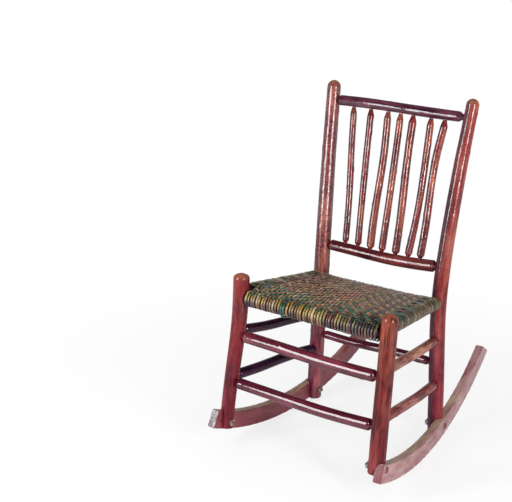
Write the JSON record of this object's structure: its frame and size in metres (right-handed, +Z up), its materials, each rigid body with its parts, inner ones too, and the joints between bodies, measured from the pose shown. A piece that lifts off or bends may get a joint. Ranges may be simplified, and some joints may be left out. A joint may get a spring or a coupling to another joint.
{
  "type": "rocking chair",
  "caption": "Armless rocking chair of bark-on poles with a spindle back, a woven splint seat and a pair of bolted sawn rockers, in dark red finish.",
  "frame": {"origin": "centre of the chair's bounding box on the floor: midway between the rockers, and midway between their front and back ends", "axes": "+Z up, -Y towards the front of the chair, +X towards the right as seen by a person standing before it"},
  "size_m": [0.5284, 0.7954, 0.9531],
  "materials": {
    "front_post_pole": "gloss",
    "back_post_pole": "gloss",
    "stretcher_pole": "gloss",
    "back_rail_pole": "gloss",
    "spindle_pole": "gloss",
    "seat_rail_pole": "satin",
    "rocker_board": "satin",
    "fastener_steel": "satin",
    "seat_splint": "satin"
  },
  "bodies": {
    "root": {"back_post_left": "back_post_pole", "back_post_right": "back_post_pole", "back_stretcher": "stretcher_pole", "crest_rail": "back_rail_pole", "front_post_left": "front_post_pole", "front_post_right": "front_post_pole", "front_stretcher_lower": "stretcher_pole", "front_stretcher_upper": "stretcher_pole", "lower_back_rail": "back_rail_pole", "rocker_bolts": "fastener_steel", "rocker_left": "rocker_board", "rocker_nuts": "fastener_steel", "rocker_right": "rocker_board", "rocker_washers": "fastener_steel", "seat_rail_back": "seat_rail_pole", "seat_rail_front": "seat_rail_pole", "seat_rail_left": "seat_rail_pole", "seat_rail_right": "seat_rail_pole", "seat_weave": "seat_splint", "side_stretcher_left_lower": "stretcher_pole", "side_stretcher_left_upper": "stretcher_pole", "side_stretcher_right_lower": "stretcher_pole", "side_stretcher_right_upper": "stretcher_pole", "spindle_1": "spindle_pole", "spindle_2": "spindle_pole", "spindle_3": "spindle_pole", "spindle_4": "spindle_pole", "spindle_5": "spindle_pole", "spindle_6": "spindle_pole", "spindle_7": "spindle_pole"}
  },
  "joints": []
}
